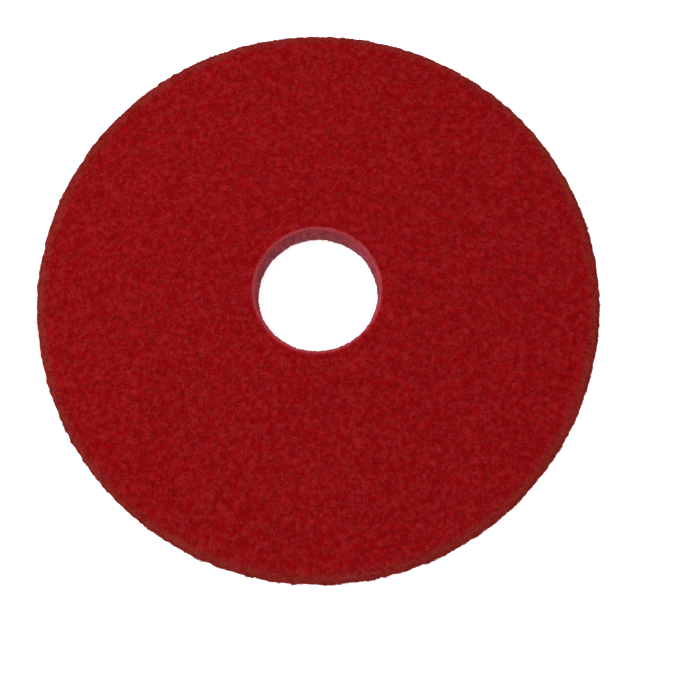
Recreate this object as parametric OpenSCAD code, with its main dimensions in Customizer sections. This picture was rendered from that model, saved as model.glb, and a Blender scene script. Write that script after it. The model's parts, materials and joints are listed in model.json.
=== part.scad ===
// Round floor pad for a rotary floor machine: a flat disc of bonded
// non-woven web with an open hole in its centre.
// Lengths are in millimetres. The origin is the centre of the lower face,
// which lies on the floor, and +Z runs up the axis of the hole.

/* [Disc] */
// Outside diameter of the pad
pad_d = 380; // [280:1:533]
// Thickness of the web
pad_t = 25; // [12:0.5:30]
// Diameter of the hole that the machine's centring boss goes through
hole_d = 85; // [76:1:95]

/* [Cut edges] */
// Radius that the cutting die leaves round the rim, above and below
rim_round = 3; // [0.5:0.25:5]
// Radius that it leaves round the hole, above and below
hole_round = 1.5; // [0.5:0.25:5]

/* [Hidden] */
rim_r = pad_d / 2;
hole_r = hole_d / 2;
$fn = 180;

// A circle in the half section that rounds one edge: centred the rounding's
// own radius in from the lower face (side = 0) and from the upper (side = 1).
module edge_round(x, radius, side) {
    translate([x, side == 0 ? radius : pad_t - radius])
        circle(r = radius);
}

// Half section of the web between the hole and the rim. Bars of full height
// and full width overlap, and the circles fill their corners.
module web_section() {
    inner_x = hole_r + hole_round;
    outer_x = rim_r - rim_round;
    middle_x = (hole_r + rim_r) / 2;

    // Full height, from the end of one rounding to the start of the other
    translate([inner_x, 0])
        square([outer_x - inner_x, pad_t]);
    // Out to the wall of the hole
    translate([hole_r, hole_round])
        square([middle_x - hole_r, pad_t - 2 * hole_round]);
    // Out to the rim
    translate([middle_x, rim_round])
        square([rim_r - middle_x, pad_t - 2 * rim_round]);

    for (side = [0, 1]) {
        edge_round(inner_x, hole_round, side);
        edge_round(outer_x, rim_round, side);
    }
}

// The whole pad: one disc, cut from one sheet of web
module pad_web() {
    color([0.55, 0.07, 0.09])
        rotate_extrude()
            web_section();
}

pad_web();
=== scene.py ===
"""Looks of a round red floor pad, the consumable disc of a rotary floor machine.

The pad is one disc, die-cut from a thick open web of crimped fibres that are
bonded with pigmented resin. The web is built as a dense relief of its matted
surface, and loose fibres weave in and out of it on both faces, round the rim
and inside the centre hole. Lengths are in metres.
"""

import json
import logging
import math
import random
from dataclasses import dataclass
from enum import Enum

import bmesh
import bpy
import numpy as np
from mathutils import Matrix, Vector, noise


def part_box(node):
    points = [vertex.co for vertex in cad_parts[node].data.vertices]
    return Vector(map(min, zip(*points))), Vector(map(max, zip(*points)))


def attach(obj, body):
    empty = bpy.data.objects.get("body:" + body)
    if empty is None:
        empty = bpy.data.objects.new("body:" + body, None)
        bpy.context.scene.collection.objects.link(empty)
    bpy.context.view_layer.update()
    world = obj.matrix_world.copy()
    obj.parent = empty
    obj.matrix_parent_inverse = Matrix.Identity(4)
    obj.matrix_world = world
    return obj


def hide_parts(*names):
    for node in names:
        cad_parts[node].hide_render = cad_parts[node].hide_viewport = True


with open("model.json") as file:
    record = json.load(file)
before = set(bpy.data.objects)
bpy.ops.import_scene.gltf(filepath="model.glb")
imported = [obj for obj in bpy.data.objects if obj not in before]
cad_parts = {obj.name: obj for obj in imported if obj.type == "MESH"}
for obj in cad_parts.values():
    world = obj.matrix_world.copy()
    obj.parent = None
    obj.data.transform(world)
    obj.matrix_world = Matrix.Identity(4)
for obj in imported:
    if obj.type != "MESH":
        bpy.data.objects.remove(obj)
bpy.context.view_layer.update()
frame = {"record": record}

PAD_NODE = "pad_web"
PAD_BODY = "root"
BAKE_MAP = "OFBake"
MM = 0.001

# A loose fibre's shade runs from 0, painted shade near the rim, to 1, pale. At the first of these
# levels the painted shade gives way to a dark colour, at the second usual, and past the third it turns pale.
EDGE_SHADE_END = 0.25
USUAL_SHADE = 0.66
PALE_SHADE = 0.89

log = logging.getLogger("floor_pad")

Span = tuple[float, float]
Triple = tuple[float, float, float]
Colour = Triple
Socket = bpy.types.NodeSocket


class Zone(Enum):
    """The surfaces of the web on which loose fibres lie."""

    UPPER_FACE = "upper_face"
    LOWER_FACE = "lower_face"
    RIM = "rim"
    HOLE_WALL = "hole_wall"


# ---------------------------------------------------------------- finishes


class NodeBoard:
    """A material's node tree, with a short method for each kind of node used."""

    def __init__(self, name: str) -> None:
        """Starts an empty material with a surface shader.

        Args:
            name: the material's name.
        """
        self.material = bpy.data.materials.new(name)
        self.material.use_nodes = True
        self.tree = self.material.node_tree
        self.shader = self.tree.nodes["Principled BSDF"]

    def feed(self, socket: Socket, value: "Socket | float | Triple") -> None:
        """Links a socket, or sets its own value.

        Args:
            socket: the input to fill.
            value: an output to link, or a plain value.
        """
        if isinstance(value, bpy.types.NodeSocket):
            self.tree.links.new(value, socket)
        elif isinstance(value, tuple) and len(socket.default_value) == 4:
            socket.default_value = (*value, 1.0)
        else:
            socket.default_value = value

    def places(self) -> Socket:
        """Returns the object coordinates of a point on the piece."""
        return self.tree.nodes.new("ShaderNodeTexCoord").outputs["Object"]

    def parts(self, vector: Socket) -> tuple[Socket, Socket, Socket]:
        """Takes a vector apart.

        Args:
            vector: the vector.

        Returns:
            Its X, Y and Z.
        """
        node = self.tree.nodes.new("ShaderNodeSeparateXYZ")
        self.feed(node.inputs["Vector"], vector)
        return node.outputs["X"], node.outputs["Y"], node.outputs["Z"]

    def length(self, vector: Socket) -> Socket:
        """Measures a vector.

        Args:
            vector: the vector.

        Returns:
            How long it is.
        """
        node = self.tree.nodes.new("ShaderNodeVectorMath")
        node.operation = "LENGTH"
        self.feed(node.inputs[0], vector)
        return node.outputs["Value"]

    def stretched(self, places: Socket, factors: Triple, shift: Triple = (0.0, 0.0, 0.0)) -> Socket:
        """Scales and shifts coordinates.

        Args:
            places: the coordinates.
            factors: how far each axis is scaled.
            shift: what is added to each axis.

        Returns:
            The new coordinates.
        """
        node = self.tree.nodes.new("ShaderNodeMapping")
        self.feed(node.inputs["Vector"], places)
        self.feed(node.inputs["Scale"], factors)
        self.feed(node.inputs["Location"], shift)
        return node.outputs["Vector"]

    def noise(self, places: Socket, size: float, detail: float, distortion: float = 0.0) -> Socket:
        """Soft noise.

        Args:
            places: the coordinates to read.
            size: how wide its lumps are, in metres.
            detail: how many finer layers it has.
            distortion: how far it is swirled.

        Returns:
            A value from 0 to 1, mostly near 0.5.
        """
        node = self.tree.nodes.new("ShaderNodeTexNoise")
        self.feed(node.inputs["Vector"], places)
        self.feed(node.inputs["Scale"], 1.0 / size)
        self.feed(node.inputs["Detail"], detail)
        self.feed(node.inputs["Distortion"], distortion)
        return node.outputs["Fac"]

    def arithmetic(self, operation: str, first: "Socket | float", second: "Socket | float") -> Socket:
        """Arithmetic on two values.

        Args:
            operation: the name of the operation, such as MULTIPLY.
            first: the first value.
            second: the second value.

        Returns:
            The result.
        """
        node = self.tree.nodes.new("ShaderNodeMath")
        node.operation = operation
        self.feed(node.inputs[0], first)
        self.feed(node.inputs[1], second)
        return node.outputs["Value"]

    def product(self, first: "Socket | float", second: "Socket | float") -> Socket:
        """Returns one value times another."""
        return self.arithmetic("MULTIPLY", first, second)

    def off_centre(self, value: Socket, centre: float) -> Socket:
        """Returns how far a value is from a centre, on either side."""
        return self.arithmetic("ABSOLUTE", self.arithmetic("SUBTRACT", value, centre), 0.0)

    def fade(
        self, value: Socket, low: float, high: float, at_low: float = 0.0, at_high: float = 1.0
    ) -> Socket:
        """A smooth step from one level to another.

        Args:
            value: what is read.
            low: where the step starts.
            high: where it ends.
            at_low: the result at and before low.
            at_high: the result at and past high.

        Returns:
            The level.
        """
        node = self.tree.nodes.new("ShaderNodeMapRange")
        node.interpolation_type = "SMOOTHSTEP"
        self.feed(node.inputs["Value"], value)
        self.feed(node.inputs["From Min"], low)
        self.feed(node.inputs["From Max"], high)
        self.feed(node.inputs["To Min"], at_low)
        self.feed(node.inputs["To Max"], at_high)
        return node.outputs["Result"]

    def blend(self, share: "Socket | float", first: "Socket | Colour", second: "Socket | Colour") -> Socket:
        """Mixes two colours.

        Args:
            share: how much of the second there is, from 0 to 1.
            first: the colour at 0.
            second: the colour at 1.

        Returns:
            The mixed colour.
        """
        node = self.tree.nodes.new("ShaderNodeMix")
        node.data_type = "RGBA"
        self.feed(node.inputs[0], share)
        self.feed(node.inputs[6], first)
        self.feed(node.inputs[7], second)
        return node.outputs[2]

    def bump(self, height: Socket, depth: float, strength: float) -> None:
        """Gives the shader a bump.

        Args:
            height: the height, from 0 to 1.
            depth: what a height of 1 stands for, in metres.
            strength: how much of the bump shows, from 0 to 1.
        """
        node = self.tree.nodes.new("ShaderNodeBump")
        self.feed(node.inputs["Height"], height)
        self.feed(node.inputs["Distance"], depth)
        self.feed(node.inputs["Strength"], strength)
        self.feed(self.shader.inputs["Normal"], node.outputs["Normal"])

    def surface(self, colour: "Socket | Colour", roughness: "Socket | float", specular: float) -> None:
        """Gives the shader its colour and its sheen.

        Args:
            colour: the base colour.
            roughness: the roughness, from 0 to 1.
            specular: how strongly light is mirrored, from 0 to 1.
        """
        self.feed(self.shader.inputs["Base Color"], colour)
        self.feed(self.shader.inputs["Roughness"], roughness)
        self.feed(self.shader.inputs["Specular IOR Level"], specular)


@dataclass(frozen=True)
class Spot:
    """What the web's finish reads at a point."""

    radius: Socket
    level: Socket
    mottle: Socket


@dataclass(frozen=True)
class MattedWeb:
    """The finish of the matted web: layers of tangled strands over a mottled ground, darkened with painted
    shade for the web's depth.

    A field that ends in _span holds the two levels of a noise, or of the height, between
    which one look gives way to another.
    """

    # Painted shade: the ground under the strands is a darker copy of their colour.
    deep_shade: Colour = (0.207, 0.0005, 0.0012)
    deep_shade_share: float = 0.45
    ground_height: float = 0.6
    dull: Colour = (0.228, 0.0014, 0.0024)
    bright: Colour = (0.246, 0.0088, 0.0106)
    mottle: float = 4.0 * MM
    mottle_span: Span = (0.34, 0.66)
    layering: float = 2.2

    tangle: tuple[float, ...] = (3.3 * MM, 2.4 * MM, 2.9 * MM, 2.1 * MM)
    tangle_shift: Triple = (0.031, 0.017, 0.023)
    swirl: float = 0.7
    line: float = 0.075
    line_core: float = 0.4
    strand_height: float = 0.7
    strand_climb: float = 0.1
    # Painted shadow in a band beside each strand, in the colour below, which also fills the pits as painted
    # shade.
    strand_shadow: float = 0.19
    strand_shadow_share: float = 0.16
    hollow_shade: Colour = (0.166, 0.0003, 0.0006)

    # Pits of painted shade, deeper on the cut walls.
    pit: float = 2.2 * MM
    pit_span: Span = (0.30, 0.42)
    pit_share: float = 0.24
    rim_pit_share: float = 0.75
    hole_pit_share: float = 0.375
    pit_near: float = 0.4 * MM
    pit_far: float = 1.8 * MM
    grit: Colour = (0.440, 0.0700, 0.0780)
    grain: float = 1.0 * MM
    grit_span: Span = (0.70, 0.80)
    grit_share: float = 0.20

    # Painted shade on the faces' margin by the rim: darker and duller towards the edge.
    edge_shade: Colour = (0.182, 0.0190, 0.0140)
    edge_shade_reach: float = 8.5 * MM
    rim_dull: Colour = (0.175, 0.0110, 0.0110)
    rim_bright: Colour = (0.275, 0.0220, 0.0220)
    rim_span: Span = (0.36, 0.60)
    cut_reach: float = 2.4 * MM
    cut_skin: float = 0.4 * MM
    # Painted shade along the rim's two rounded edges, patchy with the mottle.
    rounding_shade: Colour = (0.148, 0.0115, 0.0095)
    rounding_shade_reach: float = 2.9 * MM
    rounding_shade_fade: float = 0.6
    rounding_shade_span: Span = (0.38, 0.62)
    rounding_shade_least: float = 0.55

    # Painted sheen on the hole's wall: paler and greyer, darker low down as painted shade, and pale on the
    # lip as a painted highlight.
    hole_low_sheen_and_shade: Colour = (0.290, 0.0780, 0.1050)
    hole_high_sheen: Colour = (0.370, 0.0540, 0.0720)
    hole_rise: Span = (0.2, 0.9)
    hole_skin: float = 0.3 * MM
    hole_reach: float = 2.6 * MM
    hole_span: Span = (0.38, 0.60)
    hole_least: float = 0.72

    height_span: Span = (0.3, 0.9)
    roughness: Span = (0.98, 0.86)
    specular: float = 0.01
    bump_depth: float = 0.45 * MM
    bump_strength: float = 0.5

    def rim_tone_and_shade(self, board: NodeBoard, spot: Spot, shape: "DiscShape", tone: Socket) -> Socket:
        """Paints shade on the face's margin, mottles the rim's wall and paints shade on the rim's two rounded
        edges.

        Args:
            board: the material's nodes.
            spot: the readings at a point.
            shape: the disc.
            tone: the strands' colour on the faces.

        Returns:
            The colour with the rim's looks over it.
        """
        cut_start = shape.rim_r - self.cut_reach
        # Painted shade over the face's margin by the rim.
        margin = board.fade(spot.radius, shape.rim_r - self.edge_shade_reach, cut_start)
        tone = board.blend(margin, tone, self.edge_shade)
        wall = board.blend(board.fade(spot.mottle, *self.rim_span), self.rim_dull, self.rim_bright)
        tone = board.blend(board.fade(spot.radius, cut_start, shape.rim_r - self.cut_skin), tone, wall)

        # Painted shade on the rim's two rounded edges, where they meet the faces.
        rounding_shade_start = shape.rim_r - self.rounding_shade_reach
        fade_reach = self.rounding_shade_fade * self.rounding_shade_reach
        outer = board.fade(spot.radius, rounding_shade_start, rounding_shade_start + fade_reach)
        face_side = 0.5 * shape.thickness - self.rounding_shade_reach
        off_middle = board.off_centre(spot.level, 0.5 * shape.thickness)
        near_face = board.fade(off_middle, face_side, face_side + fade_reach)
        patchy = board.fade(spot.mottle, *self.rounding_shade_span, 1.0, self.rounding_shade_least)
        return board.blend(board.product(board.product(outer, near_face), patchy), tone, self.rounding_shade)

    def hole_sheen_and_shade(self, board: NodeBoard, spot: Spot, shape: "DiscShape", tone: Socket) -> Socket:
        """Paints sheen on the hole's wall, shade low on it, and a highlight on its lip.

        Args:
            board: the material's nodes.
            spot: the readings at a point.
            shape: the disc.
            tone: the strands' colour elsewhere.

        Returns:
            The colour with the hole's looks over it.
        """
        low, high = (share * shape.thickness for share in self.hole_rise)
        # Painted shade low on the wall, painted sheen higher up, and a painted highlight on the lip.
        wall = board.blend(board.fade(spot.level, low, high), self.hole_low_sheen_and_shade, self.hole_high_sheen)
        skin, reach = shape.hole_r + self.hole_skin, shape.hole_r + self.hole_reach
        inner = board.fade(spot.radius, skin, reach, 1.0, 0.0)
        patchy = board.fade(spot.mottle, *self.hole_span, 1.0, self.hole_least)
        return board.blend(board.product(inner, patchy), tone, wall)

    def tangled(
        self, board: NodeBoard, places: Socket, layered: Socket, tone: Socket
    ) -> tuple[Socket, Socket]:
        """Lays the strands over the ground, layer over layer, each between bands of painted shadow.

        Args:
            board: the material's nodes.
            places: the object coordinates.
            layered: the same, squeezed into the web's layers.
            tone: the strands' colour.

        Returns:
            The colour, and the height from 0 to 1.
        """
        # Painted shade: the ground is the strands' colour darkened.
        colour = board.blend(self.deep_shade_share, tone, self.deep_shade)
        height = board.product(board.noise(places, self.mottle, detail=3.0), self.ground_height)
        for layer, size in enumerate(self.tangle):
            shift = tuple(layer * step for step in self.tangle_shift)
            moved = board.stretched(layered, (1.0, 1.0, 1.0), shift)
            field = board.noise(moved, size, detail=1.0, distortion=self.swirl)
            away = board.off_centre(field, 0.5)
            # Painted shadow beside each strand.
            strand_shadow = board.fade(away, self.line, self.strand_shadow, self.strand_shadow_share, 0.0)
            colour = board.blend(strand_shadow, colour, self.hollow_shade)
            strand = board.fade(away, self.line_core * self.line, self.line, 1.0, 0.0)
            colour = board.blend(strand, colour, tone)
            crest = board.product(strand, self.strand_height + self.strand_climb * layer)
            height = board.arithmetic("MAXIMUM", height, crest)
        return colour, height

    def pit_shade_share(self, board: NodeBoard, spot: Spot, shape: "DiscShape") -> Socket:
        """How dark the painted shade in the pits is: the cut walls show more of the web's open inside than
        the faces do.

        Args:
            board: the material's nodes.
            spot: the readings at a point.
            shape: the disc.

        Returns:
            The share of the colour of painted shade in a pit.
        """
        rim_far, rim_near = shape.rim_r - self.pit_far, shape.rim_r - self.pit_near
        hole_near, hole_far = shape.hole_r + self.pit_near, shape.hole_r + self.pit_far
        rim = board.fade(spot.radius, rim_far, rim_near, self.pit_share, self.rim_pit_share)
        hole = board.fade(spot.radius, hole_near, hole_far, self.hole_pit_share, self.pit_share)
        return board.arithmetic("MAXIMUM", rim, hole)

    def material(self, shape: "DiscShape") -> bpy.types.Material:
        """Builds the material.

        Args:
            shape: the disc.

        Returns:
            The material.
        """
        board = NodeBoard("matted_red_web")
        places = board.places()
        layered = board.stretched(places, (1.0, 1.0, self.layering))
        spot = Spot(
            radius=board.length(board.stretched(places, (1.0, 1.0, 0.0))),
            level=board.parts(places)[2],
            mottle=board.noise(layered, self.mottle, detail=2.5),
        )
        tone = board.blend(board.fade(spot.mottle, *self.mottle_span), self.dull, self.bright)
        tone = self.rim_tone_and_shade(board, spot, shape, tone)
        tone = self.hole_sheen_and_shade(board, spot, shape, tone)
        colour, height = self.tangled(board, places, layered, tone)
        # Painted shade in the pits.
        pits = board.fade(board.noise(layered, self.pit, detail=2.0), *self.pit_span, 1.0, 0.0)
        colour = board.blend(board.product(pits, self.pit_shade_share(board, spot, shape)), colour, self.hollow_shade)
        grain = board.noise(places, self.grain, detail=0.0)
        colour = board.blend(board.fade(grain, *self.grit_span, 0.0, self.grit_share), colour, self.grit)
        board.surface(colour, board.fade(height, *self.height_span, *self.roughness), self.specular)
        board.bump(height, self.bump_depth, self.bump_strength)
        return board.material


@dataclass(frozen=True)
class LooseFibre:
    """The finish of the loose fibres: each has a shade of its own, and ends of one colour, painted shade
    where they dive in.
    """

    name: str
    # The colour of painted shade that fibres take near the rim.
    edge_shade: Colour
    dark: Colour
    usual: Colour
    pale: Colour
    # The colour of the ends: painted shade where a fibre dives into the web.
    root: Colour
    root_span: Span = (0.30, 0.50)
    roughness: float = 0.85
    specular: float = 0.02

    def material(self) -> bpy.types.Material:
        """Builds the material, which reads a fibre's shade and length from its bake map.

        Returns:
            The material.
        """
        board = NodeBoard(self.name)
        lookup = board.tree.nodes.new("ShaderNodeUVMap")
        lookup.uv_map = BAKE_MAP
        shade, along, _ = board.parts(lookup.outputs["UV"])
        # The lowest shades give the painted shade near the rim.
        colour = board.blend(board.fade(shade, 0.0, EDGE_SHADE_END), self.edge_shade, self.dark)
        colour = board.blend(board.fade(shade, EDGE_SHADE_END, USUAL_SHADE), colour, self.usual)
        colour = board.blend(board.fade(shade, PALE_SHADE, 1.0), colour, self.pale)
        # Painted shade towards both ends.
        colour = board.blend(board.fade(board.off_centre(along, 0.5), *self.root_span), colour, self.root)
        board.surface(colour, self.roughness, self.specular)
        return board.material


# A face fibre's first colour is painted shade by the rim.
FACE_FIBRE = LooseFibre(
    name="face_fibre",
    edge_shade=(0.192, 0.0230, 0.0170),
    dark=(0.256, 0.0018, 0.0028),
    usual=(0.272, 0.0044, 0.0064),
    pale=(0.298, 0.0200, 0.0232),
    root=(0.256, 0.0026, 0.0038),
)
# A rim fibre's dark colour is the painted shade of the rim's rounded edges.
RIM_FIBRE = LooseFibre(
    name="rim_fibre",
    edge_shade=(0.155, 0.0115, 0.0100),
    dark=(0.155, 0.0115, 0.0100),
    usual=(0.290, 0.0190, 0.0190),
    pale=(0.400, 0.0480, 0.0480),
    root=(0.190, 0.0120, 0.0120),
)
# The hole's fibres are paler and greyer with painted sheen, and darker low down with painted shade.
HOLE_FIBRE = LooseFibre(
    name="hole_fibre",
    edge_shade=(0.280, 0.0660, 0.0880),
    dark=(0.280, 0.0660, 0.0880),
    usual=(0.370, 0.0590, 0.0770),
    pale=(0.440, 0.0960, 0.1230),
    root=(0.300, 0.0490, 0.0640),
)


@dataclass(frozen=True)
class PaleFloor:
    """The finish of the studio's floor, a white sheet lit a little from beneath."""

    white: Colour = (0.92, 0.92, 0.92)
    roughness: float = 0.9
    glow: float = 0.58

    def material(self) -> bpy.types.Material:
        """Builds the material.

        Returns:
            The material.
        """
        board = NodeBoard("pale_floor")
        board.surface(self.white, self.roughness, 0.0)
        board.feed(board.shader.inputs["Emission Color"], (1.0, 1.0, 1.0))
        board.feed(board.shader.inputs["Emission Strength"], self.glow)
        return board.material


# ------------------------------------------------------------------- shape


@dataclass(frozen=True)
class DiscShape:
    """The nominal disc, as the frame gives it."""

    rim_r: float
    hole_r: float
    thickness: float
    rim_round: float = 3.0 * MM
    hole_round: float = 1.5 * MM

    @classmethod
    def from_frame(cls) -> "DiscShape":
        """Reads the disc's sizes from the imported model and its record.

        Returns:
            The disc.
        """
        low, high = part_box(PAD_NODE)
        mounts = {mount["name"]: mount for mount in frame["record"]["mounts"]}
        hole_r = mounts["centre_hole"]["dims"]["r_mm"] * MM
        return cls(rim_r=high.x, hole_r=hole_r, thickness=high.z - low.z)

    @property
    def middle_r(self) -> float:
        """The radius halfway between the hole and the rim."""
        return 0.5 * (self.rim_r + self.hole_r)

    def wall(self, zone: Zone) -> "CutWall":
        """Finds one of the cut walls.

        Args:
            zone: the rim or the hole's wall.

        Returns:
            The wall.
        """
        if zone is Zone.RIM:
            return CutWall(self.rim_r, self.rim_round, self.thickness, outward=1.0)
        return CutWall(self.hole_r, self.hole_round, self.thickness, outward=-1.0)

    def face_drop(self, radius: float) -> float:
        """How far a face has fallen towards the middle of the web at a radius.

        Args:
            radius: the distance from the axis.

        Returns:
            The drop: 0 on the flat, and up to the rounding's radius at an edge.
        """
        past_rim = radius - (self.rim_r - self.rim_round)
        past_hole = (self.hole_r + self.hole_round) - radius
        drop = 0.0
        for past, rounding in ((past_rim, self.rim_round), (past_hole, self.hole_round)):
            if past > 0.0:
                reach = min(past, rounding)
                drop = rounding - math.sqrt(rounding**2 - reach**2)
        return drop


@dataclass(frozen=True)
class CutWall:
    """One of the two cut walls of the disc, followed from its lower face to its upper one."""

    radius: float
    rounding: float
    thickness: float
    outward: float

    @property
    def span(self) -> float:
        """The way from face to face, over both roundings."""
        return self.thickness + (math.pi - 2.0) * self.rounding

    def place(self, angle: float, along: float) -> tuple[Vector, Vector]:
        """Finds a point of the wall.

        Args:
            angle: the angle round the axis.
            along: the way from the lower face.

        Returns:
            The point and the wall's outward normal there.
        """
        arc = 0.5 * math.pi * self.rounding
        along = min(max(along, 0.0), self.span)
        past = along - (self.span - arc)
        if along < arc:
            tilt, centre = (along - arc) / self.rounding, self.rounding
        elif past > 0.0:
            tilt, centre = past / self.rounding, self.thickness - self.rounding
        else:
            tilt, centre = 0.0, self.rounding + along - arc
        radial = Vector((math.cos(angle), math.sin(angle), 0.0))
        normal = radial * self.outward * math.cos(tilt) + Vector((0.0, 0.0, math.sin(tilt)))
        depth = self.rounding * (1.0 - math.cos(tilt))
        point = radial * (self.radius - self.outward * depth)
        point.z = centre + self.rounding * math.sin(tilt)
        return point, normal


@dataclass(frozen=True)
class Relief:
    """How the web's surface stands off its nominal shape."""

    swell: float = 16.0 * MM
    swell_height: float = 0.30 * MM
    lump: float = 5.4 * MM
    lump_height: float = 0.26 * MM
    lump_shift: Triple = (7.3, 1.9, 4.1)
    nub: float = 2.4 * MM
    nub_height: float = 0.13 * MM
    nub_shift: Triple = (2.7, 8.8, 3.6)
    wall_layering: float = 0.9
    rim_rough: float = 3.8
    rim_puff: float = 0.85 * MM
    hole_rough: float = 1.4
    hole_puff: float = 0.35 * MM
    rest: float = 0.35 * MM

    def height(self, place: Vector, rise: float, at_rim: bool) -> float:
        """The height at a point.

        A cut wall is rougher than a face, and shows the web's layers. The lower face stands
        a little off the floor, on its loose fibres.

        Args:
            place: the point on the nominal surface.
            rise: the height of the unit normal there: 1 or -1 on a face and 0 on a cut wall.
            at_rim: whether the nearer cut wall is the rim's.

        Returns:
            The height along the surface's normal.
        """
        on_cut = 1.0 - abs(rise)
        rough, puff = (self.rim_rough, self.rim_puff) if at_rim else (self.hole_rough, self.hole_puff)
        layered = Vector((place.x, place.y, place.z * (1.0 + self.wall_layering * on_cut)))
        swell = noise.noise(place / self.swell) * self.swell_height
        lump = noise.noise(layered / self.lump + Vector(self.lump_shift)) * self.lump_height
        nub = noise.noise(layered / self.nub + Vector(self.nub_shift)) * self.nub_height
        height = swell + (lump + nub) * (1.0 + (rough - 1.0) * on_cut) + puff * on_cut
        return height - self.rest * max(-rise, 0.0)


@dataclass(frozen=True)
class Roundness:
    """How the die-cut outline departs from a true circle: a little oval, and a little three-sided."""

    oval: float = 0.5 * MM
    oval_turn: float = -75.0
    three_sided: float = 0.3 * MM
    three_sided_turn: float = 65.0
    falloff: int = 5

    def swung(self, place: Vector, rim_r: float) -> Vector:
        """How far a point moves with the outline, most at the rim and hardly at all by the hole.

        Args:
            place: the nominal point.
            rim_r: the rim's nominal radius.

        Returns:
            The move, away from the axis.
        """
        angle = math.atan2(place.y, place.x)
        swing = self.oval * math.cos(2.0 * angle - math.radians(self.oval_turn))
        swing += self.three_sided * math.cos(3.0 * angle - math.radians(self.three_sided_turn))
        radius = math.hypot(place.x, place.y)
        return Vector((place.x, place.y, 0.0)) * (swing * (radius / rim_r) ** self.falloff / radius)


@dataclass(frozen=True)
class CoreLayout:
    """Where the core's surfaces lie in its bake map, as shares of the map's side.

    The faces are two discs in one row, and the cut walls two strips that hold a foot and a height.
    """

    disc_r: float = 0.245
    disc_row: float = 0.25
    upper_column: float = 0.25
    lower_column: float = 0.75
    strip_length: float = 0.99
    rim_strip: Span = (0.53, 0.26)
    hole_strip: Span = (0.82, 0.16)
    face_rise: float = 0.6

    def on_disc(self, place: Vector, upper: bool, shape: DiscShape) -> Span:
        """Finds a point of a face in the map.

        Args:
            place: the point.
            upper: whether it is on the upper face.
            shape: the disc.

        Returns:
            The map's two coordinates.
        """
        column = self.upper_column if upper else self.lower_column
        across = column + place.x / shape.rim_r * self.disc_r
        return across, self.disc_row + place.y / shape.rim_r * self.disc_r

    def on_strip(self, place: Vector, centre: Vector, shape: DiscShape) -> Span:
        """Finds a point of a cut wall in the map.

        Args:
            place: the point.
            centre: the middle of the facet that the point is a corner of.
            shape: the disc.

        Returns:
            The map's two coordinates.
        """
        turn = math.atan2(centre.y, centre.x)
        angle = math.atan2(place.y, place.x)
        angle += math.tau * round((turn - angle) / math.tau)
        outer = math.hypot(centre.x, centre.y) > shape.middle_r
        foot, tall = self.rim_strip if outer else self.hole_strip
        across = 0.5 + self.strip_length * angle / math.tau
        return across, foot + tall * (place.z / shape.thickness)


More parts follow.
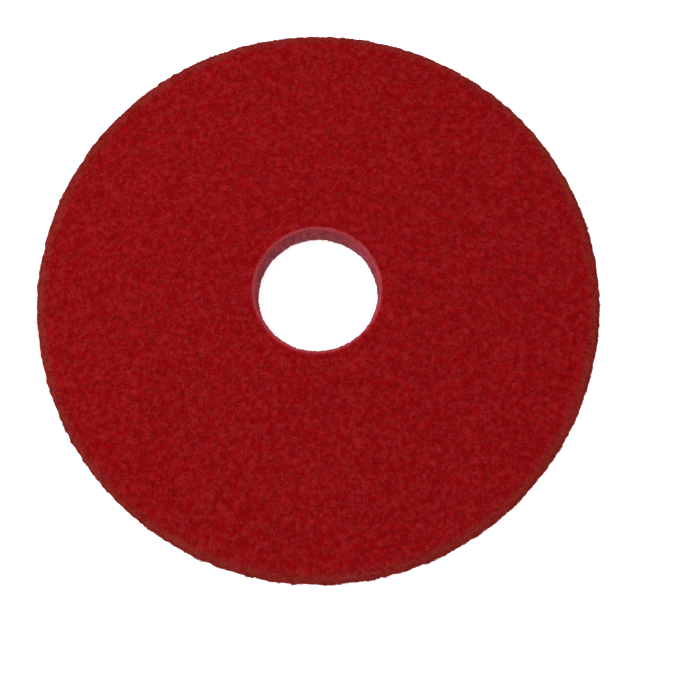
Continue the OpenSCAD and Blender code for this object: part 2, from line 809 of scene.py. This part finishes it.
@dataclass
class WebCore:
    """The body of the pad: a closed, matted disc of web with its centre hole."""

    shape: DiscShape
    relief: Relief
    roundness: Roundness
    layout: CoreLayout = CoreLayout()
    cell: float = 1.45 * MM
    sectors: int = 12
    sector_steps: int = 66
    corner_steps: int = 4
    seam: float = 0.01 * MM
    lowest: float = 0.05 * MM

    def section(self, mesh: bmesh.types.BMesh) -> None:
        """Draws the half section of the web as a closed wire in the XZ plane.

        Args:
            mesh: the mesh that gets the wire.
        """
        shape = self.shape
        corners = [
            mesh.verts.new((x, 0.0, z))
            for x, z in (
                (shape.hole_r, 0.0),
                (shape.rim_r, 0.0),
                (shape.rim_r, shape.thickness),
                (shape.hole_r, shape.thickness),
            )
        ]
        for number, corner in enumerate(corners):
            mesh.edges.new((corner, corners[(number + 1) % len(corners)]))
        rim_corners, hole_corners = corners[1:3], [corners[0], corners[3]]
        for rounding, chosen in ((shape.rim_round, rim_corners), (shape.hole_round, hole_corners)):
            bmesh.ops.bevel(
                mesh,
                geom=chosen,
                offset=rounding,
                offset_type="OFFSET",
                segments=self.corner_steps,
                profile=0.5,
                affect="VERTICES",
                material=-1,
            )
        for edge in list(mesh.edges):
            cuts = round(edge.calc_length() / self.cell) - 1
            if cuts > 0:
                bmesh.ops.subdivide_edges(mesh, edges=[edge], cuts=cuts)

    def revolve(self, mesh: bmesh.types.BMesh) -> None:
        """Spins the section through one sector, and repeats the sector all the way round.

        Args:
            mesh: the mesh that holds the section.
        """
        axis_at = (0.0, 0.0, 0.0)
        sector = math.tau / self.sectors
        bmesh.ops.spin(
            mesh,
            geom=[*mesh.verts, *mesh.edges],
            cent=axis_at,
            axis=(0.0, 0.0, 1.0),
            angle=sector,
            steps=self.sector_steps,
            use_merge=False,
        )
        first = [*mesh.verts, *mesh.edges, *mesh.faces]
        for number in range(1, self.sectors):
            copied = bmesh.ops.duplicate(mesh, geom=first)["geom"]
            verts = [part for part in copied if isinstance(part, bmesh.types.BMVert)]
            bmesh.ops.rotate(mesh, verts=verts, cent=axis_at, matrix=Matrix.Rotation(number * sector, 3, "Z"))
        bmesh.ops.remove_doubles(mesh, verts=mesh.verts, dist=self.seam)
        bmesh.ops.recalc_face_normals(mesh, faces=mesh.faces)

    def sculpt(self, mesh: bmesh.types.BMesh) -> None:
        """Moves the surface by its relief, and the rim by its roundness.

        Args:
            mesh: the spun disc.
        """
        mesh.normal_update()
        moves = []
        for vert in mesh.verts:
            place, normal = vert.co, vert.normal
            at_rim = math.hypot(place.x, place.y) > self.shape.middle_r
            height = self.relief.height(place, normal.z, at_rim)
            moves.append(normal * height + self.roundness.swung(place, self.shape.rim_r))
        for vert, move in zip(mesh.verts, moves):
            vert.co += move
            vert.co.z = max(vert.co.z, self.lowest)

    def unwrap(self, mesh: bmesh.types.BMesh) -> None:
        """Lays the surface out for baking: the two faces as discs, the rim and the hole as strips.

        Args:
            mesh: the sculpted disc.
        """
        layer = mesh.loops.layers.uv.new(BAKE_MAP)
        for face in mesh.faces:
            face.normal_update()
            centre = face.calc_center_median()
            rise = face.normal.z
            for loop in face.loops:
                if abs(rise) > self.layout.face_rise:
                    loop[layer].uv = self.layout.on_disc(loop.vert.co, rise > 0.0, self.shape)
                else:
                    loop[layer].uv = self.layout.on_strip(loop.vert.co, centre, self.shape)

    def build(self) -> bpy.types.Object:
        """Builds and dresses the core.

        Returns:
            The core, riding on the pad's body.
        """
        mesh = bmesh.new()
        self.section(mesh)
        self.revolve(mesh)
        self.sculpt(mesh)
        self.unwrap(mesh)
        for face in mesh.faces:
            face.smooth = True
        data = bpy.data.meshes.new("web_core")
        mesh.to_mesh(data)
        mesh.free()
        core = ridden(data, MattedWeb().material(self.shape))
        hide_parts(PAD_NODE)
        return core


def ridden(data: bpy.types.Mesh, material: bpy.types.Material) -> bpy.types.Object:
    """Makes a piece of a mesh, dresses it and hands it to the pad's body.

    Args:
        data: the mesh, which bears the piece's name.
        material: its finish.

    Returns:
        The piece.
    """
    piece = bpy.data.objects.new(data.name, data)
    bpy.context.scene.collection.objects.link(piece)
    data.materials.clear()
    data.materials.append(material)
    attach(piece, PAD_BODY)
    return piece


# ------------------------------------------------------------------ fibres


@dataclass(frozen=True)
class FibreCut:
    """What the fibres of one zone are like. Stubs are short ones that stand out of a cut wall."""

    zone: Zone
    count: int
    length: Span
    curl: float
    lift: float
    stubs: float = 0.0
    stub_reach: float = 0.0


@dataclass(frozen=True)
class Crimp:
    """How a fibre winds over the surface, dips in at its ends and rises between them."""

    swing: float = 0.50
    wave: float = 3.4 * MM
    wander: float = 0.35
    wall_heading: float = 0.45
    crest: Span = (0.55, 1.3)
    sink: float = 0.30
    stub_length: float = 0.45
    stub_sink: float = 0.2
    stub_power: float = 1.5
    end_width: float = 0.55


@dataclass
class FibreBatch:
    """A batch of crimped fibres that weave in and out of one zone of the web."""

    name: str
    cut: FibreCut
    shape: DiscShape
    relief: Relief
    roundness: Roundness
    seed: int
    crimp: Crimp = Crimp()
    thickness: float = 0.27 * MM
    points: int = 7
    outline_points: int = 3
    hole_margin: float = 0.4 * MM
    rim_margin_share: float = 0.4
    # How far in from the rim the face fibres take painted shade, and over what width it fades in.
    edge_shade_reach: float = 8.0 * MM
    edge_shade_fade: float = 5.5 * MM
    chance_share: float = 0.45
    # How much of a hole fibre's shade follows its height: painted shade, darker low down.
    height_shade_share: float = 0.55
    rim_least: float = 0.3

    @property
    def on_wall(self) -> bool:
        """Whether the fibres lie on a cut wall."""
        return self.cut.zone in (Zone.RIM, Zone.HOLE_WALL)

    def chart(self, s: float, t: float, lift: float) -> Vector:
        """Places a point of a fibre.

        Args:
            s: x on a face, or the distance round a wall.
            t: y on a face, or the way up a wall from the lower face.
            lift: the height over the matted surface.

        Returns:
            The place in the frame.
        """
        shape, zone = self.shape, self.cut.zone
        if self.on_wall:
            wall = shape.wall(zone)
            place, normal = wall.place(s / wall.radius, t)
        else:
            side = 1.0 if zone is Zone.UPPER_FACE else -1.0
            normal = Vector((0.0, 0.0, side))
            level = shape.thickness if zone is Zone.UPPER_FACE else 0.0
            place = Vector((s, t, level - side * shape.face_drop(math.hypot(s, t))))
        height = self.relief.height(place, normal.z, zone is not Zone.HOLE_WALL)
        place = place + normal * (height + lift) + self.roundness.swung(place, shape.rim_r)
        place.z = max(place.z, 0.5 * self.thickness)
        return place

    def start(self, dice: random.Random) -> Span:
        """Picks where a fibre starts, evenly over its zone.

        Args:
            dice: the batch's random numbers.

        Returns:
            The two chart coordinates.
        """
        shape = self.shape
        if self.on_wall:
            wall = shape.wall(self.cut.zone)
            return dice.uniform(0.0, math.tau * wall.radius), dice.uniform(0.0, wall.span)
        radius = math.sqrt(dice.uniform(shape.hole_r**2, shape.rim_r**2))
        angle = dice.uniform(0.0, math.tau)
        return radius * math.cos(angle), radius * math.sin(angle)

    def inside(self, s: float, t: float) -> bool:
        """Whether a point is within the fibres' zone.

        Args:
            s: the first chart coordinate.
            t: the second chart coordinate.

        Returns:
            Whether a fibre may go there.
        """
        shape = self.shape
        if self.on_wall:
            return 0.0 <= t <= shape.wall(self.cut.zone).span
        nearest = shape.hole_r + self.hole_margin
        farthest = shape.rim_r - self.rim_margin_share * shape.rim_round
        return nearest < math.hypot(s, t) < farthest

    def strand(self, dice: random.Random) -> list[Vector]:
        """Walks one fibre over the surface.

        Args:
            dice: the batch's random numbers.

        Returns:
            The points of the fibre, fewer than its full count if it left the zone.
        """
        cut, crimp = self.cut, self.crimp
        s, t = self.start(dice)
        heading = dice.uniform(0.0, math.tau)
        if self.on_wall:
            heading = dice.gauss(0.0, crimp.wall_heading) + math.pi * dice.randrange(2)
        length = dice.uniform(*cut.length)
        is_stub = dice.random() < cut.stubs
        if is_stub:
            length *= crimp.stub_length
        step = length / (self.points - 1)
        bend = dice.gauss(0.0, 1.0) * step / cut.curl
        phase = dice.uniform(0.0, math.tau)
        crest = cut.lift * dice.uniform(*crimp.crest)
        path = []
        for number in range(self.points):
            if not self.inside(s, t):
                break
            along = number / (self.points - 1)
            wave = crimp.swing * math.sin(phase + along * length / crimp.wave * math.tau)
            lift = crest * (math.sin(math.pi * along) - crimp.sink)
            if is_stub:
                lift = crest * (along - crimp.stub_sink) + cut.stub_reach * along**crimp.stub_power
            path.append(self.chart(s, t, lift))
            bend += dice.gauss(0.0, crimp.wander) * step / cut.curl
            heading += bend
            s += step * math.cos(heading + wave)
            t += step * math.sin(heading + wave)
        return path

    def outline(self) -> bpy.types.Object:
        """Draws the small closed outline that is swept along each fibre.

        Returns:
            The outline, as a curve object that isn't in the scene yet.
        """
        curve = bpy.data.curves.new(f"{self.name}_outline", "CURVE")
        curve.dimensions = "2D"
        spline = curve.splines.new("POLY")
        spline.points.add(self.outline_points - 1)
        radius = 0.5 * self.thickness
        for number, point in enumerate(spline.points):
            angle = math.tau * number / self.outline_points
            point.co = (radius * math.cos(angle), radius * math.sin(angle), 0.0, 1.0)
        spline.use_cyclic_u = True
        return bpy.data.objects.new(curve.name, curve)

    def laid(self) -> tuple[bpy.types.Curve, np.ndarray]:
        """Lays every fibre of the batch as a spline of one curve.

        Returns:
            The curve and the shade of each fibre.
        """
        dice = random.Random(self.seed)
        curve = bpy.data.curves.new(self.name, "CURVE")
        curve.dimensions = "3D"
        shades = []
        while len(shades) < self.cut.count:
            path = self.strand(dice)
            if len(path) < self.points:
                continue
            spline = curve.splines.new("POLY")
            spline.points.add(len(path) - 1)
            spline.points.foreach_set("co", [number for place in path for number in (*place, 1.0)])
            ends = self.crimp.end_width
            spline.points.foreach_set("radius", [ends, *[1.0] * (len(path) - 2), ends])
            spline.use_smooth = True
            shades.append(self.own_shade(path[self.points // 2], dice))
        return curve, np.array(shades)

    def swept(self, curve: bpy.types.Curve) -> bpy.types.Mesh:
        """Sweeps the outline along the fibres.

        Args:
            curve: the fibres' curve, which is deleted.

        Returns:
            The mesh.
        """
        outline = self.outline()
        curve.bevel_mode = "OBJECT"
        curve.bevel_object = outline
        curve.use_fill_caps = True
        fibres = bpy.data.objects.new(f"{self.name}_swept", curve)
        for scrap in (fibres, outline):
            bpy.context.scene.collection.objects.link(scrap)
        graph = bpy.context.evaluated_depsgraph_get()
        data = bpy.data.meshes.new_from_object(fibres.evaluated_get(graph))
        data.name = self.name
        for scrap in (fibres, outline):
            scrap_curve = scrap.data
            bpy.data.objects.remove(scrap)
            bpy.data.curves.remove(scrap_curve)
        return data

    def own_shade(self, middle: Vector, dice: random.Random) -> float:
        """Picks a fibre's shade by chance and by where it lies.

        It is darker low in the hole, near the rim's two rounded edges and on a face's margin by the rim: all
        three are painted shade.

        Args:
            middle: the fibre's middle point.
            dice: the batch's random numbers.

        Returns:
            A shade from 0 to 1.
        """
        shape = self.shape
        shade = dice.random()
        edge_shading = 0.0
        if self.cut.zone is Zone.HOLE_WALL:
            # In the hole, lower fibres are darker: painted shade.
            shade = self.chance_share * shade + self.height_shade_share * min(middle.z / shape.thickness, 1.0)
        elif self.cut.zone is Zone.RIM:
            # On the rim, fibres on the rounded edges take painted shade.
            off_middle = abs(middle.z - 0.5 * shape.thickness)
            rounding_shading = (off_middle - 0.5 * shape.thickness) / shape.rim_round + 1.0
            rounding_shading = min(max(rounding_shading, 0.0), 1.0)
            on_flat = self.rim_least + (1.0 - self.rim_least) * shade
            shade = (1.0 - rounding_shading) * on_flat + rounding_shading * self.rim_least * shade
        else:
            # On a face's margin by the rim, fibres take painted shade.
            from_rim = shape.rim_r - math.hypot(middle.x, middle.y)
            edge_shading = min(max((self.edge_shade_reach - from_rim) / self.edge_shade_fade, 0.0), 1.0)
        return (EDGE_SHADE_END + (1.0 - EDGE_SHADE_END) * shade) * (1.0 - edge_shading)

    def write_shades(self, data: bpy.types.Mesh, shades: np.ndarray) -> None:
        """Writes each fibre's shade and the way along it into the bake map.

        Args:
            data: the batch's mesh.
            shades: the shade of each fibre.
        """
        corners = np.empty(len(data.loops), np.int64)
        data.loops.foreach_get("vertex_index", corners)
        per_fibre = len(data.vertices) // self.cut.count
        fibre = corners // per_fibre
        ring = (corners % per_fibre) // self.outline_points
        side = corners % self.outline_points
        along = np.clip(ring / (self.points - 1), 0.0, 1.0)
        left, wide, side_step = 0.004, 0.990, 0.001
        foot, tall = 0.002, 0.996
        across = left + wide * shades[fibre] + side_step * side
        places = np.stack([across, foot + tall * along], 1).astype(np.float32)
        while data.uv_layers:
            data.uv_layers.remove(data.uv_layers[0])
        layer = data.uv_layers.new(name=BAKE_MAP)
        layer.uv.foreach_set("vector", places.ravel())

    def build(self, material: bpy.types.Material) -> bpy.types.Object:
        """Builds the batch as one piece.

        Args:
            material: the fibres' finish.

        Returns:
            The piece.
        """
        curve, shades = self.laid()
        data = self.swept(curve)
        self.write_shades(data, shades)
        return ridden(data, material)


@dataclass
class FloorPad:
    """The whole pad: the matted web and the loose fibres of its four surfaces."""

    shape: DiscShape
    relief: Relief
    roundness: Roundness
    upper_batches: int = 5
    lower_batches: int = 2

    def cuts(self) -> list[FibreCut]:
        """Tells what each batch of fibres is like.

        Returns:
            One entry for each batch, in the order of building.
        """
        face = dict(count=4800, length=(4.5 * MM, 7.5 * MM), curl=2.6 * MM, lift=0.32 * MM)
        wall = dict(curl=3.0 * MM, stubs=0.2, stub_reach=0.3 * MM)
        upper = FibreCut(zone=Zone.UPPER_FACE, **face)
        lower = FibreCut(zone=Zone.LOWER_FACE, **face)
        rim = FibreCut(zone=Zone.RIM, count=4800, length=(3.5 * MM, 6.5 * MM), lift=0.6 * MM, **wall)
        hole = FibreCut(zone=Zone.HOLE_WALL, count=1200, length=(3.0 * MM, 5.5 * MM), lift=0.5 * MM, **wall)
        return [*[upper] * self.upper_batches, *[lower] * self.lower_batches, rim, hole]

    def build(self) -> None:
        """Builds every piece and reports it."""
        core = WebCore(self.shape, self.relief, self.roundness).build()
        report(core)
        face, rim, hole = (finish.material() for finish in (FACE_FIBRE, RIM_FIBRE, HOLE_FIBRE))
        finishes = {Zone.UPPER_FACE: face, Zone.LOWER_FACE: face, Zone.RIM: rim, Zone.HOLE_WALL: hole}
        for seed, cut in enumerate(self.cuts(), start=1):
            name = f"{cut.zone.value}_fibres_{seed}"
            batch = FibreBatch(name, cut, self.shape, self.relief, self.roundness, seed)
            report(batch.build(finishes[cut.zone]))


def report(piece: bpy.types.Object) -> None:
    """Logs a piece's name and how many faces it has."""
    log.info("%s: %d faces", piece.name, len(piece.data.polygons))


# ------------------------------------------------------------------ studio


@dataclass(frozen=True)
class Lamp:
    """One soft square light that looks at the pad."""

    name: str
    place: Triple
    side: float
    power: float

    def build(self) -> None:
        """Adds the light."""
        data = bpy.data.lights.new(self.name, "AREA")
        data.size = self.side
        data.energy = self.power
        lamp = bpy.data.objects.new(self.name, data)
        lamp.visible_camera = False
        lamp.location = self.place
        lamp.rotation_mode = "QUATERNION"
        lamp.rotation_quaternion = Vector(self.place).to_track_quat("Z", "Y")
        bpy.context.scene.collection.objects.link(lamp)


@dataclass(frozen=True)
class Viewpoint:
    """Where the camera stands: nearly overhead, and a little off square."""

    azimuth: float = 0.0
    elevation: float = 78.63
    roll: float = 2.46
    distance: float = 0.4948
    aim: Triple = (0.0105, -0.0216, 0.025)
    lens: float = 37.92
    sensor: float = 36.0
    shift: Span = (0.0229, -0.0432)
    nearest: float = 0.01

    def build(self) -> None:
        """Adds the camera and makes it the scene's."""
        turn, rise, roll = (math.radians(angle) for angle in (self.azimuth, self.elevation, self.roll))
        back = Vector((math.sin(turn) * math.cos(rise), -math.cos(turn) * math.cos(rise), math.sin(rise)))
        right = (-back).cross(Vector((0.0, 0.0, 1.0))).normalized()
        up = right.cross(-back)
        rolled_right = right * math.cos(roll) - up * math.sin(roll)
        rolled_up = right * math.sin(roll) + up * math.cos(roll)
        data = bpy.data.cameras.new("camera")
        data.sensor_width = self.sensor
        data.lens = self.lens
        data.shift_x, data.shift_y = self.shift
        data.clip_start = self.nearest
        camera = bpy.data.objects.new("camera", data)
        axes = Matrix((rolled_right, rolled_up, back)).transposed().to_4x4()
        camera.matrix_world = Matrix.Translation(Vector(self.aim) + back * self.distance) @ axes
        bpy.context.scene.collection.objects.link(camera)
        bpy.context.scene.camera = camera


@dataclass(frozen=True)
class Studio:
    """A pale floor, even light from all round and one soft lamp at the upper left."""

    floor_reach: float = 8.0
    floor_level: float = -0.1 * MM
    sky: float = 1.0
    key: Lamp = Lamp("key", place=(-0.8, 0.35, 0.9), side=0.7, power=9.0)

    def add_floor(self) -> None:
        """Adds the floor that the pad lies on."""
        mesh = bmesh.new()
        level = Matrix.Translation((0.0, 0.0, self.floor_level))
        bmesh.ops.create_grid(mesh, x_segments=1, y_segments=1, size=self.floor_reach, matrix=level)
        data = bpy.data.meshes.new("floor")
        mesh.to_mesh(data)
        mesh.free()
        data.materials.append(PaleFloor().material())
        floor = bpy.data.objects.new("floor", data)
        bpy.context.scene.collection.objects.link(floor)

    def add_sky(self) -> None:
        """Adds the even light."""
        world = bpy.data.worlds.new("soft_sky")
        world.use_nodes = True
        sky = world.node_tree.nodes["Background"]
        sky.inputs["Color"].default_value = (1.0, 1.0, 1.0, 1.0)
        sky.inputs["Strength"].default_value = self.sky
        bpy.context.scene.world = world

    def build(self) -> None:
        """Adds the floor, the lights and the camera."""
        self.add_floor()
        self.add_sky()
        self.key.build()
        Viewpoint().build()
        bpy.context.scene.view_settings.view_transform = "Standard"


def main() -> None:
    """Builds the studio and the pad."""
    logging.basicConfig(level=logging.INFO, format="%(message)s")
    Studio().build()
    FloorPad(DiscShape.from_frame(), Relief(), Roundness()).build()


if __name__ == "__main__":
    main()
